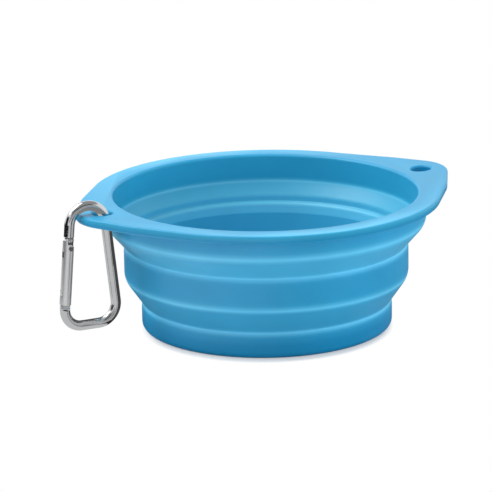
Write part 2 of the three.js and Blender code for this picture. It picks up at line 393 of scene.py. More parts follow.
def fold_outline(above, below, ridge):
    """The wall between two rings: a cone outside, and a slope, a riser, a lip and a slope inside."""
    top = above.edge + seam_inset
    bottom = below.edge - seam_inset
    riser = above.inner - riser_share_in * (above.inner - below.inner)
    riser_top = above.edge - riser_share_down * (above.edge - below.edge)
    return [
        (above.radius, top, 0),
        (above.radius + ridge.flare, above.edge - ridge.drop, ridge.rounding),
        (below.radius - notch_depth, below.edge, notch_rounding),
        (below.radius - shoulder_depth, below.edge - shoulder_drop, shoulder_rounding),
        (below.radius, bottom, 0),
        (below.inner, bottom - inner_seam_shift, 0),
        (below.inner, below.edge - inner_corner_drop, inner_foot_rounding),
        (riser - lip_reach, riser_top - riser_height - lip_fall, lip_rounding),
        (riser, riser_top - riser_height, riser_foot_rounding),
        (riser, riser_top, riser_rounding),
        (above.inner, above.edge + inner_corner_rise, slope_rounding),
        (above.inner, top + inner_seam_shift, 0),
    ]


def make_fold(name, above, below, ridge):
    return turned(name, fold_outline(above, below, ridge), bowl_steps, longest=longest_step)


def make_middle():
    inner = middle_radius - band_wall
    outline = [
        (middle_radius, middle_top_seam, 0),
        (inner, middle_top_seam - inner_seam_shift, 0),
        (inner, middle_bottom_seam + inner_seam_shift, 0),
        (middle_radius, middle_bottom_seam, 0),
    ]
    return turned("bowl_middle_band", outline, bowl_steps, longest=longest_step)


def make_base():
    inner = base_radius - band_wall
    outline = [
        (0, floor_thickness, 0),
        (inner, floor_thickness, floor_rounding),
        (inner, base_seam - inner_seam_shift, 0),
        (base_radius, base_seam, 0),
        (base_radius, 0, foot_rounding),
        (0, 0, 0),
    ]
    return turned("bowl_base_cup", outline, bowl_steps, closed=False, longest=longest_base_step)


def make_flange():
    """Discs wrapped together: the rim circle, and for each ear its full sides and its tip."""
    underside = bowl_height - flange_thickness
    flange = pin("bowl_rim", rim_radius, "Z", underside, bowl_height, bowl_steps)
    ear_discs = ((ear_side_radius, ear_side_centre), (ear_tip_radius, ear_tip - ear_tip_radius))
    for radius, centre in ear_discs:
        for side in (-1, 1):
            disc = pin("ear_disc", radius, "Z", underside, bowl_height, bowl_steps)
            moved(disc, x=side * centre)
            only(flange)
            disc.select_set(True)
            bpy.ops.object.join()
    edit_mode()
    bpy.ops.mesh.select_all(action="SELECT")
    bpy.ops.mesh.convex_hull()
    bpy.ops.mesh.select_all(action="SELECT")
    bpy.ops.mesh.dissolve_limited(angle_limit=flat_angle)
    level = {bowl_height, underside}
    select(flange, "EDGE", lambda edge: abs(edge.verts[0].co.z - edge.verts[1].co.z) < cut_margin
           and any(abs(edge.verts[0].co.z - z) < cut_margin for z in level))
    bpy.ops.mesh.bevel(offset=flange_rounding, segments=rounding_steps, affect="EDGES")
    close_up(flange)
    return flange


def spool(name, radius, rounding, top, bottom, steps):
    """A cutter for a round opening, flared at both ends so that the edges come out rounded."""
    flare = radius + rounding
    outline = [
        (0, top + flare, 0),
        (flare, top + flare, 0),
        (flare, top + cut_margin, 0),
        (radius, top + cut_margin, rounding - cut_margin),
        (radius, bottom - cut_margin, rounding - cut_margin),
        (flare, bottom - cut_margin, 0),
        (flare, bottom - flare, 0),
        (0, bottom - flare, 0),
    ]
    return turned(name, outline, steps, closed=False)


def ear_lift(x):
    """How far the free ear is lifted at this place along X."""
    return ear_curl * max(0, x - ear_curl_start) / (ear_tip - ear_curl_start)


def curl_free_ear(rim):
    """Lifts the free ear towards its tip. The hook's weight keeps the other ear flat."""
    only(rim)
    edit_mode()
    shape = bmesh.from_edit_mesh(rim.data)
    for vert in shape.verts:
        vert.co.z += ear_lift(vert.co.x)
    bmesh.update_edit_mesh(rim.data)
    only(rim)


def make_rim():
    rim = make_flange()
    underside = bowl_height - flange_thickness
    inner = collar_radius - collar_wall
    slope = inner_seam_shift / collar_wall
    past_wall = collar_wall / 2
    collar = [
        (collar_radius, upper_seam, 0),
        (collar_radius, upper_seam + seam_inset, 0),
        (collar_radius, underside + cut_margin, collar_fillet),
        (collar_radius + collar_fillet, underside + cut_margin, 0),
        (collar_radius + collar_fillet, underside + flange_thickness / 2, 0),
        (inner - past_wall, underside + flange_thickness / 2, 0),
        (inner - past_wall, upper_seam + slope * (collar_wall + past_wall), 0),
    ]
    join(rim, turned("collar", collar, bowl_steps))
    cut(rim, spool("mouth", inner, mouth_rounding, bowl_height, -bowl_height, bowl_steps))
    for side in (-1, 1):
        hole = spool(
            "ear_hole", ear_hole_radius, ear_hole_rounding, bowl_height, underside, ear_hole_steps)
        cut(rim, moved(hole, x=side * ear_hole_offset))
    curl_free_ear(rim)
    return rim


# Carabiner

def on_leg(drop):
    """A point on the gate leg's centre line, so far below the arch."""
    x = -arch_radius * math.cos(leg_turn) - drop * math.sin(leg_turn)
    z = arch_radius * math.sin(leg_turn) - drop * math.cos(leg_turn)
    return arch_centre + Vector((x, 0, z))


def on_spine(drop):
    """A point on the spine's centre line, so far below the arch."""
    x = arch_radius * math.cos(spine_turn) + drop * math.sin(spine_turn)
    z = arch_radius * math.sin(spine_turn) - drop * math.cos(spine_turn)
    return arch_centre + Vector((x, 0, z))


bottom_line = -(carabiner_length - arch_radius - 2 * rod_radius)


def straight_drop(turn, bend):
    """How far below the arch a straight leg ends and its bend into the bottom begins."""
    whole = (arch_radius * math.sin(turn) - bottom_line) / math.cos(turn)
    return whole - bend * math.tan((math.pi / 2 + turn) / 2)


leg_drop = straight_drop(leg_turn, gate_side_bend)
spine_drop = straight_drop(spine_turn, spine_side_bend)
nose_top = rivet_drop - leg_drop + nose_length
gate_bottom = nose_top + nose_gap
head_height = gate_bottom + head_above_gate_end
lower_bore_top = head_height + head_radius + 2 * nose_clearance
spring_seat = lower_bore_top + gate_web
plunger_top = -tongue_end_radius - seat_gap
plunger_bottom = plunger_top - plunger_length
spring_top = plunger_bottom - seat_gap - spring_wire_radius
spring_room = spring_top - spring_seat - seat_gap - spring_wire_radius
spring_turns = int(spring_room / spring_pitch)
leg_place = Matrix.Translation(on_leg(rivet_drop)) @ Matrix.Rotation(leg_turn, 4, "Y")


def make_rod():
    """A circle pushed along the legs and spun round the bends."""
    start = on_leg(rivet_drop - rod_above_rivet)
    up_leg = on_leg(0) - on_leg(1)
    down_spine = on_spine(1) - on_spine(0)
    inwards_from_spine = Vector((-math.cos(spine_turn), 0, -math.sin(spine_turn)))
    inwards_from_leg = Vector((math.cos(leg_turn), 0, -math.sin(leg_turn)))
    spine_bend = on_spine(spine_drop) + spine_side_bend * inwards_from_spine
    gate_bend = on_leg(leg_drop) + gate_side_bend * inwards_from_leg
    bpy.ops.object.select_all(action="DESELECT")
    bpy.ops.mesh.primitive_circle_add(vertices=rod_sides, radius=rod_radius)
    rod = new_piece("carabiner_frame_rod")
    only(rod)
    place(rod, Matrix.Translation(start) @ Matrix.Rotation(leg_turn, 4, "Y"))
    edit_mode()
    bpy.ops.mesh.select_all(action="SELECT")

    def push(way):
        bpy.ops.mesh.extrude_region_move(TRANSFORM_OT_translate={"value": way})

    def bend(centre, angle, steps):
        bpy.ops.mesh.spin(steps=steps, angle=angle, center=centre, axis=(0, -1, 0))

    push(up_leg * (rivet_drop - rod_above_rivet))
    bend(arch_centre, math.pi - leg_turn - spine_turn, arch_steps)
    push(down_spine * spine_drop)
    bend(spine_bend, math.pi / 2 + spine_turn, bend_steps)
    push(Vector((gate_bend.x - spine_bend.x, 0, 0)))
    bend(gate_bend, math.pi / 2 + leg_turn, bend_steps)
    push(up_leg * nose_length)
    select(rod, "EDGE", lambda edge: edge.is_boundary)
    bpy.ops.mesh.fill_holes(sides=0)
    select(rod, "EDGE", lambda edge: any(len(face.verts) == rod_sides for face in edge.link_faces))
    bpy.ops.mesh.bevel(offset=rod_end_rounding, segments=rod_end_steps, affect="EDGES")
    close_up(rod)
    return rod


def make_tongue():
    """The flat tongue with a round end that the gate hinges on."""
    outer_edge = hinge_clearance - math.sqrt(gate_bore_radius ** 2 - (tongue_thickness / 2) ** 2)
    top = rod_above_rivet + rod_radius
    end = tongue_end_radius
    outline = [
        (outer_edge, top, 0),
        (outer_edge, -end, end * tongue_heel_share),
        (rivet_inset + end, -end, end),
        (rivet_inset + end, top, 0),
    ]
    tongue = extruded("tongue", outline, tongue_thickness)
    soften_edges(tongue, tongue_softening)
    hole = pin("rivet_hole", rivet_hole_radius, "Y", -rod_radius, rod_radius)
    cut(tongue, moved(hole, x=rivet_inset))
    return place(tongue, leg_place)


def make_knuckle():
    """The collar between the leg's end and the gate's lug, cut flat behind the gate's horn."""
    knuckle = pin("knuckle", rod_radius, "Z", knuckle_bottom, knuckle_top, rod_sides)
    beyond = 2 * rod_radius
    low = Vector((-beyond, -beyond, 0))
    high = Vector((knuckle_back, beyond, beyond * 2))
    cut(knuckle, block("knuckle_cut", low, high))
    soften_edges(knuckle, collar_softening)
    return place(knuckle, leg_place)


def make_nose():
    """The neck and its round head, which lie in the gate's keyhole slot."""
    low = Vector((-rod_radius, -neck_thickness / 2, nose_top - nose_length))
    high = Vector((neck_reach, neck_thickness / 2, head_height))
    nose = block("neck", low, high)
    head = pin("head", head_radius, "X", -rod_radius, neck_reach)
    soften_edges(head, collar_softening)
    join(nose, moved(head, z=head_height))
    return place(nose, leg_place)


def make_frame():
    rod = make_rod()
    beyond = 3 * rod_radius
    for side in (-1, 1):
        cutter = pin("milled_runout", runout_radius, "X", -beyond, beyond, gate_sides)
        moved(cutter, y=side * (neck_thickness / 2 + runout_radius), z=nose_top)
        cut(rod, place(cutter, leg_place))
    join(rod, make_tongue())
    join(rod, make_knuckle())
    join(rod, make_nose())
    return rod


def make_gate():
    """A tube with a horn and a lug at its hinge, a window, and a keyhole slot for the nose."""
    beyond = 2 * gate_radius
    top = gate_above_rivet + beyond
    bottom = gate_bottom - beyond
    horn_edge = horn_width - gate_radius
    horn_foot = gate_above_rivet - gate_radius
    gate = pin("carabiner_gate_tube", gate_radius, "Z", gate_bottom, gate_above_rivet, gate_sides)
    hinge = [
        (horn_edge, top, 0),
        (horn_edge, horn_foot, horn_foot_rounding),
        (rivet_inset - lug_heel_in, lug_heel_up, 0),
        (rivet_inset, lug_radius, lug_rounding),
        (rivet_inset + lug_radius, lug_nose_up, lug_nose_rounding),
        (rivet_inset + lug_radius, -gate_radius / 2, lug_rounding),
        (beyond, -gate_radius, 0),
        (beyond, top, 0),
    ]
    horn_chamfer = [
        (-beyond, gate_above_rivet - horn_chamfer_drop, 0),
        (-gate_radius - cut_margin, gate_above_rivet - horn_chamfer_drop, 0),
        (horn_edge, gate_above_rivet + cut_margin, 0),
        (horn_edge, top, 0),
        (-beyond, top, 0),
    ]
    slot = neck_thickness / 2 + nose_clearance
    fork = tongue_thickness / 2 + hinge_clearance
    head_hole = pin("head_hole", head_radius + nose_clearance, "X", -beyond, 0)
    cutters = [
        pin("upper_bore", gate_bore_radius, "Z", spring_seat, top),
        pin("lower_bore", gate_bore_radius, "Z", bottom, lower_bore_top),
        extruded("hinge_cut", hinge, 2 * beyond),
        extruded("horn_chamfer", horn_chamfer, 2 * beyond),
        block("fork_slot", Vector((0, -fork, -gate_radius)), Vector((beyond, fork, top))),
        block("neck_slot", Vector((-beyond, -slot, bottom)), Vector((0, slot, head_height))),
        moved(head_hole, z=head_height),
        moved(pin("rivet_hole", rivet_hole_radius, "Y", -beyond, beyond), x=rivet_inset),
        block("window", Vector((-beyond, -window_width / 2, -window_drop - window_height)),
              Vector((-gate_bore_radius / 2, window_width / 2, -window_drop))),
    ]
    for cutter in cutters:
        cut(gate, cutter)
    soften_edges(gate, gate_softening)
    return place(gate, leg_place)


def make_rivet():
    reach = gate_radius - rivet_recess
    rivet = pin("gate_rivet_pin", rivet_radius, "Y", -reach, reach)
    soften_edges(rivet, rivet_softening)
    moved(rivet, x=rivet_inset)
    return place(rivet, leg_place)


def make_plunger():
    """The small round plunger between the spring and the tongue, with a domed top."""
    outline = [
        (0, plunger_top, 0),
        (plunger_dome_radius, plunger_top, plunger_dome_rounding),
        (plunger_radius, plunger_top - plunger_dome_drop, plunger_dome_rounding),
        (plunger_radius, plunger_bottom, plunger_foot_rounding),
        (0, plunger_bottom, 0),
    ]
    return place(turned("gate_plunger_pin", outline, plunger_steps, closed=False), leg_place)


def make_spring():
    """A round wire wound by the Screw modifier, with its two ends closed."""
    bpy.ops.object.select_all(action="DESELECT")
    bpy.ops.mesh.primitive_circle_add(
        vertices=spring_wire_sides, radius=spring_wire_radius,
        location=(spring_radius, 0, spring_top), rotation=(math.pi / 2, 0, 0))
    spring = new_piece("gate_spring_wire")
    only(spring)
    winding = spring.modifiers.new("winding", "SCREW")
    winding.axis = "Z"
    winding.steps = spring_steps
    winding.render_steps = spring_steps
    winding.iterations = spring_turns
    winding.screw_offset = -spring_pitch
    winding.use_normal_calculate = True
    bpy.ops.object.modifier_apply(modifier=winding.name)
    edit_mode()
    select(spring, "EDGE", lambda edge: edge.is_boundary)
    bpy.ops.mesh.fill_holes(sides=0)
    close_up(spring)
    return place(spring, leg_place)


# Materials

grain_detail = 2.0
patch_detail = 4.0
line_detail = 3.0
line_stretch = (1, 1, 0.06)
line_start = 0.45
line_full = 0.75
# Colours of the painted light and shade: painted shade at 0, the wall's own blue at plain_wall, painted
# highlights at 1
plain_wall = 0.5
painted_shade_blue = (0.0, 0.24, 0.50)
wall_blue = (0.025, 0.365, 0.65)
painted_highlight_blue = (0.14, 0.66, 1.0)
# A painted sheen: the inner faces redder and less blue, as if greyed by a faint sheen
inside_sheen_tint = (1.4, 1.08, 0.95)
silicone_tones = (0.90, 1.10)
silicone_roughness = (0.32, 0.44)
silicone_ior = 1.41
silicone_bump = 0.25
silicone_bump_height = 0.012 * MM
metal_roughness_spread = 0.2
line_roughness = 0.25
line_bump = 0.15
line_bump_height = 0.01 * MM

# Sockets of a Mix node that mixes colours
mix_factor = 0
mix_first = 6
mix_second = 7
mix_result = 2


def new_material(name):
    material = bpy.data.materials.new(name)
    material.use_nodes = True
    tree = material.node_tree
    return material, tree, tree.nodes["Principled BSDF"]


def new_group(name, inputs, outputs):
    """An empty shader node group with named value sockets."""
    group = bpy.data.node_groups.new(name, "ShaderNodeTree")
    for label, value in inputs.items():
        socket = group.interface.new_socket(label, in_out="INPUT", socket_type="NodeSocketFloat")
        socket.default_value = value
    for label in outputs:
        group.interface.new_socket(label, in_out="OUTPUT", socket_type="NodeSocketFloat")
    return group, group.nodes.new("NodeGroupInput"), group.nodes.new("NodeGroupOutput")


def make_grain_group():
    """Fine grain for a bump, and broad soft patches for tone and roughness."""
    group, given, result = new_group("surface_grain", {"Grain Scale": 3000, "Patch Scale": 60},
                                     ("Grain", "Patches"))
    place_on = group.nodes.new("ShaderNodeTexCoord")
    for scale, output, detail in (
            ("Grain Scale", "Grain", grain_detail), ("Patch Scale", "Patches", patch_detail)):
        noise = group.nodes.new("ShaderNodeTexNoise")
        noise.inputs["Detail"].default_value = detail
        group.links.new(place_on.outputs["Object"], noise.inputs["Vector"])
        group.links.new(given.outputs[scale], noise.inputs["Scale"])
        group.links.new(noise.outputs["Fac"], result.inputs[output])
    return group


def make_rubbing_group():
    """Fine lines along the height, as left by drawing and handling, 0 on most of the metal."""
    group, given, result = new_group("rubbed_lines", {"Line Scale": 1500, "Amount": 0.5}, ("Lines",))
    place_on = group.nodes.new("ShaderNodeTexCoord")
    stretch = group.nodes.new("ShaderNodeMapping")
    stretch.inputs["Scale"].default_value = line_stretch
    noise = group.nodes.new("ShaderNodeTexNoise")
    noise.inputs["Detail"].default_value = line_detail
    keep = group.nodes.new("ShaderNodeMapRange")
    keep.inputs["From Min"].default_value = line_start
    keep.inputs["From Max"].default_value = line_full
    group.links.new(place_on.outputs["Object"], stretch.inputs["Vector"])
    group.links.new(stretch.outputs["Vector"], noise.inputs["Vector"])
    group.links.new(given.outputs["Line Scale"], noise.inputs["Scale"])
    group.links.new(noise.outputs["Fac"], keep.inputs["Value"])
    group.links.new(given.outputs["Amount"], keep.inputs["To Max"])
    group.links.new(keep.outputs["Result"], result.inputs["Lines"])
    return group


surface_grain = make_grain_group()
rubbed_lines = make_rubbing_group()


def add_group(tree, group, **values):
    node = tree.nodes.new("ShaderNodeGroup")
    node.node_tree = group
    for label, value in values.items():
        node.inputs[label.replace("_", " ")].default_value = value
    return node


def between(tree, value, low, high):
    """Spreads a 0 to 1 value over a range."""
    spread = tree.nodes.new("ShaderNodeMapRange")
    spread.inputs["To Min"].default_value = low
    spread.inputs["To Max"].default_value = high
    tree.links.new(value, spread.inputs["Value"])
    return spread.outputs["Result"]


def mixed(tree, factor, first, second, blend="MIX"):
    """Mixes two colours, each a socket or a plain colour."""
    mix = tree.nodes.new("ShaderNodeMix")
    mix.data_type = "RGBA"
    mix.blend_type = blend
    if isinstance(factor, float):
        mix.inputs[mix_factor].default_value = factor
    else:
        tree.links.new(factor, mix.inputs[mix_factor])
    for colour, socket in ((first, mix.inputs[mix_first]), (second, mix.inputs[mix_second])):
        if isinstance(colour, tuple):
            socket.default_value = (*colour, 1)
        else:
            tree.links.new(colour, socket)
    return mix.outputs[mix_result]


def raise_grain(tree, shader, height, strength, distance):
    bump = tree.nodes.new("ShaderNodeBump")
    bump.inputs["Strength"].default_value = strength
    bump.inputs["Distance"].default_value = distance
    tree.links.new(height, bump.inputs["Height"])
    tree.links.new(bump.outputs["Normal"], shader.inputs["Normal"])


def painted_value(tree, name):
    """A value that is written on the mesh's points."""
    attribute = tree.nodes.new("ShaderNodeAttribute")
    attribute.attribute_name = name
    return attribute.outputs["Fac"]


def make_silicone():
    """Blue darkened by painted shade and lightened by painted highlights, with patches of tone and a
    moulded grain.
    """
    material, tree, shader = new_material("blue_silicone")
    grain = add_group(tree, surface_grain, Grain_Scale=2600, Patch_Scale=45)
    # The points' values pick painted shade, the plain wall blue or painted highlights
    outside = tree.nodes.new("ShaderNodeValToRGB")
    outside.color_ramp.elements[0].color = (*painted_shade_blue, 1)
    outside.color_ramp.elements[1].color = (*painted_highlight_blue, 1)
    outside.color_ramp.elements.new(plain_wall).color = (*wall_blue, 1)
    tree.links.new(painted_value(tree, "light_and_shade"), outside.inputs["Fac"])
    # Painted sheen on the inner faces
    tint = mixed(tree, painted_value(tree, "inside"), (1.0, 1.0, 1.0), inside_sheen_tint)
    colour = mixed(tree, 1.0, outside.outputs["Color"], tint, "MULTIPLY")
    tone = between(tree, grain.outputs["Patches"], *silicone_tones)
    shaded = mixed(tree, 1.0, colour, tone, "MULTIPLY")
    tree.links.new(shaded, shader.inputs["Base Color"])
    roughness = between(tree, grain.outputs["Patches"], *silicone_roughness)
    tree.links.new(roughness, shader.inputs["Roughness"])
    shader.inputs["IOR"].default_value = silicone_ior
    raise_grain(tree, shader, grain.outputs["Grain"], silicone_bump, silicone_bump_height)
    return material


def make_metal(name, colour, dull, roughness, lines):
    """Bare metal: rubbed lines and soft patches change its tone and its roughness."""
    material, tree, shader = new_material(name)
    grain = add_group(tree, surface_grain, Grain_Scale=5000, Patch_Scale=140)
    rubbed = add_group(tree, rubbed_lines, Line_Scale=2200, Amount=lines)
    tone = mixed(tree, grain.outputs["Patches"], dull, colour)
    worn = mixed(tree, rubbed.outputs["Lines"], tone, dull)
    tree.links.new(worn, shader.inputs["Base Color"])
    smoothest = roughness * (1 - metal_roughness_spread)
    roughest = roughness * (1 + metal_roughness_spread)
    spread = tree.nodes.new("ShaderNodeMath")
    spread.operation = "ADD"
    tree.links.new(between(tree, grain.outputs["Patches"], smoothest, roughest), spread.inputs[0])
    tree.links.new(between(tree, rubbed.outputs["Lines"], 0, line_roughness), spread.inputs[1])
    tree.links.new(spread.outputs[0], shader.inputs["Roughness"])
    shader.inputs["Metallic"].default_value = 1
    raise_grain(tree, shader, rubbed.outputs["Lines"], line_bump, line_bump_height)
    return material


def dress(piece, material):
    piece.data.materials.clear()
    piece.data.materials.append(material)


silicone = make_silicone()
polished = make_metal(
    "polished_aluminium", colour=(0.72, 0.73, 0.74), dull=(0.58, 0.59, 0.60), roughness=0.12, lines=0.2)
satin = make_metal(
    "satin_aluminium", colour=(0.86, 0.87, 0.88), dull=(0.76, 0.77, 0.78), roughness=0.33, lines=0.3)
steel = make_metal(
    "pin_steel", colour=(0.24, 0.24, 0.25), dull=(0.13, 0.13, 0.14), roughness=0.32, lines=0.5)


# Painted light and shade on the silicone: highlights along the hinge lines, where the walls are thinner,
# on cones and flange; shade on bands, foot and flange sides

# Painted highlights along the hinge lines: the peak value on the line, fading over these reaches
ring_reach = 3.6 * MM
cone_reach = 1.4 * MM
hinge_highlight = 1.0
# Painted shade: the base darker towards the floor, from base_top_value down to foot_value
base_top_value = 0.40
foot_value = 0.12
foot_fade = 0.45 * base_ring.edge
# Painted sheen: the flange top lighter in its middle than towards the ear tips
rim_middle_value = 0.86
ear_tip_value = 0.46
# Painted shade on the flange's sides and a painted highlight along its lower edge
flange_side_value = 0.06
flange_edge_value = 0.62
# Painted light on the two cones, painted shade on the collar and the middle band
outer_values = (
    (collar_ring.edge, 0.46),
    (middle_top_ring.edge, 0.70),
    (middle_bottom_ring.edge, 0.36),
    (base_ring.edge, 0.59),
)
# Painted shade on the inner wall under the rim, painted light on the middle band's inner wall
inner_values = (
    (collar_ring.edge + inner_corner_rise, 0.37),
    (middle_bottom_ring.edge + inner_corner_rise, 0.60),
    (0, plain_wall),
)
# A painted highlight along the upper edge of each inner slope
inner_edge_highlight = 0.32
inner_edge_reach = 1.4 * MM
# Painted light on the inner slopes, risers and lips, least on the risers
upper_slope_top_value = 0.51
upper_slope_foot_value = 0.62
riser_value = 0.67
riser_foot_value = 0.60
lip_value = 0.76
lower_slope_value = 0.79
wall_fade = 0.4 * MM
outer_skin = 0.8 * MM
hinge_lines = ((collar_ring, 1), (middle_top_ring, -1), (middle_bottom_ring, 1), (base_ring, -1))
outer_wall = (
    (0, base_radius),
    (base_ring.edge, base_radius),
    (middle_bottom_ring.edge, middle_radius),
    (middle_top_ring.edge, middle_radius),
    (collar_ring.edge, collar_radius),
    (bowl_height, collar_radius),
)


def faded(start, end, share):
    return start + (end - start) * min(max(share, 0), 1)


def near_line(distance, reach):
    """1 on a line, falling fast at first and 0 beyond its reach."""
    return (1 - min(abs(distance) / reach, 1)) ** 2


def value_above(values, height):
    """The value of the first entry whose edge lies below this height, or None."""
    return next((value for edge, value in values if height > edge), None)


def painted_light_and_shade_inside(spot):
    """Painted light and shade inside: a value for each inner wall, slope, riser and lip, with a painted
    highlight along the upper edge of each slope.
    """
    value = value_above(inner_values, spot.z)
    for above, below in ((collar_ring, middle_top_ring), (middle_bottom_ring, base_ring)):
        riser_top = above.edge - riser_share_down * (above.edge - below.edge)
        riser_foot = riser_top - riser_height
        slope_top = above.edge + inner_corner_rise
        slope_foot = below.edge - inner_corner_drop
        lip = riser_foot - lip_fall
        edge = inner_edge_highlight * near_line(spot.z - slope_top, inner_edge_reach)
        if slope_top < spot.z:
            value += edge
        elif riser_top < spot.z:
            share = (spot.z - riser_top) / (slope_top - riser_top)
            value = faded(upper_slope_foot_value, upper_slope_top_value, share) + edge
        elif riser_foot < spot.z:
            value = riser_value
        elif lip < spot.z:
            value = faded(lip_value, riser_foot_value, (spot.z - lip) / lip_fall)
        elif slope_foot < spot.z:
            value = faded(lower_slope_value, lip_value, (spot.z - slope_foot) / (lip - slope_foot))
        elif slope_foot - wall_fade < spot.z:
            value = faded(lower_slope_value, value, (slope_foot - spot.z) / wall_fade)
    return value


def painted_light_and_shade(spot):
    """Painted light and shade outside: 1, a painted highlight, along the hinge lines, and a value of its
    own on each ring, cone and rim face.
    """
    if insideness(spot) > 0.5:
        return painted_light_and_shade_inside(spot)
    height_on_flange = spot.z - ear_lift(spot.x) - bowl_height + flange_thickness
    if math.hypot(spot.x, spot.y) > collar_radius + collar_fillet:
        if height_on_flange < flange_thickness / 2:
            return faded(flange_edge_value, flange_side_value, height_on_flange / flange_rounding)
        top_value = faded(rim_middle_value, ear_tip_value, abs(spot.x) / ear_tip)
        below_top = flange_thickness - height_on_flange
        return faded(top_value, flange_side_value, below_top / flange_rounding)
    value = value_above(outer_values, spot.z)
    if value is None:
        value = faded(base_top_value, foot_value, (base_ring.edge - spot.z) / foot_fade)
    for ring, ring_side in hinge_lines:
        away = ring_side * (spot.z - ring.edge)
        reach = ring_reach if away > 0 else cone_reach
        value += (hinge_highlight - value) * near_line(away, reach)
    return value


def insideness(spot):
    """1 on the inner faces and 0 on the outer ones. Near the rim's top every face fades from 1 to 0."""
    stretches = zip(outer_wall, outer_wall[1:])
    outer = next(faded(low[1], high[1], (spot.z - low[0]) / (high[0] - low[0]))
                 for low, high in stretches if spot.z <= high[0] or high is outer_wall[-1])
    if spot.z < floor_thickness - cut_margin:
        return 0.0
    if spot.z > bowl_height - mouth_rounding:
        return faded(1, 0, (spot.z - bowl_height + mouth_rounding) / mouth_rounding)
    return 1.0 if math.hypot(spot.x, spot.y) < outer - outer_skin else 0.0


def paint(piece, name, value):
    marks = piece.data.attributes.new(name, "FLOAT", "POINT")
    marks.data.foreach_set("value", [value(vert.co) for vert in piece.data.vertices])


rim = make_rim()
upper_fold = make_fold("bowl_upper_fold", collar_ring, middle_top_ring, upper_ridge)
middle = make_middle()
lower_fold = make_fold("bowl_lower_fold", middle_bottom_ring, base_ring, lower_ridge)
base = make_base()
for piece, node in ((rim, "rim_ring"), (upper_fold, "upper_fold"), (middle, "middle_band"),
                    (lower_fold, "lower_fold"), (base, "base_cup")):
    smooth(piece, weighted=piece is rim)
    # Painted light and shade, written on each piece's points
    paint(piece, "light_and_shade", painted_light_and_shade)
    paint(piece, "inside", insideness)
    dress(piece, silicone)
    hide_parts(node)
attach(rim, "rim")
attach(middle, "middle")
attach(base, "base")
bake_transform(upper_fold)
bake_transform(lower_fold)

rod = make_frame()
gate = make_gate()
rivet = make_rivet()
plunger = make_plunger()
spring = make_spring()
for piece, node, body, material, slot in (
        (rod, "carabiner_frame", "carabiner", polished, "polished_aluminium"),
        (gate, "carabiner_gate", "gate", satin, "satin_aluminium"),
        (rivet, "gate_rivet", "carabiner", steel, "pin_steel"),
        (plunger, "gate_plunger", "gate", steel, "pin_steel"),
        (spring, "gate_spring", "gate", steel, "pin_steel")):
    smooth(piece, weighted=True)
    dress(piece, material)
    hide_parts(node)
    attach(piece, body)


# Camera, at the photograph's viewing angle

view_azimuth = math.radians(-25.5)
view_elevation = math.radians(15.4)
view_roll = math.radians(-0.9)
view_distance = 1200 * MM
view_target = Vector((-6.85, 3.23, 30.1)) * MM
camera_sensor = 36
camera_lens = 232.6


def make_camera():
    back = Vector((math.sin(view_azimuth) * math.cos(view_elevation),
                   -math.cos(view_azimuth) * math.cos(view_elevation), math.sin(view_elevation)))
    right = Vector((math.cos(view_azimuth), math.sin(view_azimuth), 0))
    up = back.cross(right)
    rolled_right = right * math.cos(view_roll) + up * math.sin(view_roll)
    rolled_up = back.cross(rolled_right)
    data = bpy.data.cameras.new("camera")
    data.sensor_width = camera_sensor
    data.lens = camera_lens
    camera = bpy.data.objects.new("camera", data)
    bpy.context.scene.collection.objects.link(camera)
    turn = Matrix((rolled_right, rolled_up, back)).transposed().to_4x4()
    camera.matrix_world = Matrix.Translation(view_target + back * view_distance) @ turn
    bpy.context.scene.camera = camera


# Lights, floor and the cards that the surfaces mirror

room_brightness = 0.70
floor_size = 8
floor_drop = 0.02 * MM
floor_grey_for_light = 0.75
floor_grey_for_camera = 0.97
shadow_glow = 0.36
white_beyond = 0.4 * MM
shadow_centre = Vector((-1.7, -3.6, 0)) * MM
ear_card_width = 1.5 * ear_tip_radius
ear_card_gap = 0.1 * MM

# Ranges that several cards share, each a low and a high end
floor_card_depth = (-0.60, 0.15)
left_card_depth = (-0.30, 0.45)
floor_card_height = (0.0001, 0.0001)
black_card_height = (0.0002, 0.0002)
hook_card_height = (0.002, 0.036)
collar_card_height = (0.030, 0.0475)
hook_card_place = (-0.0565, -0.0565)
collar_card_place = (-0.0613, -0.0613)
front_card_place = (-1.3, -1.3)


def add_softbox(name, spot, target, size, power, reflected=True):
    data = bpy.data.lights.new(name, "AREA")
    data.shape = "RECTANGLE"
    data.size, data.size_y = size
    data.energy = power
    lamp = bpy.data.objects.new(name, data)
    lamp.visible_glossy = reflected
    bpy.context.scene.collection.objects.link(lamp)
    way = Vector(target) - Vector(spot)
    lamp.matrix_world = Matrix.Translation(spot) @ way.to_track_quat("-Z", "Y").to_matrix().to_4x4()


def seen_directly(tree):
    """1 on camera, glossy and transmission rays, and 0 on the rays that light the object."""
    path = tree.nodes.new("ShaderNodeLightPath")
    first = tree.nodes.new("ShaderNodeMath")
    second = tree.nodes.new("ShaderNodeMath")
    for node in (first, second):
        node.operation = "MAXIMUM"
    tree.links.new(path.outputs["Is Camera Ray"], first.inputs[0])
    tree.links.new(path.outputs["Is Glossy Ray"], first.inputs[1])
    tree.links.new(first.outputs[0], second.inputs[0])
    tree.links.new(path.outputs["Is Transmission Ray"], second.inputs[1])
    return second.outputs[0]


def make_world():
    world = bpy.data.worlds.new("studio")
    bpy.context.scene.world = world
    world.use_nodes = True
    tree = world.node_tree
    background = tree.nodes["Background"]
    background.inputs["Color"].default_value = (1, 1, 1, 1)
    strength = between(tree, seen_directly(tree), room_brightness, 1.0)
    tree.links.new(strength, background.inputs["Strength"])


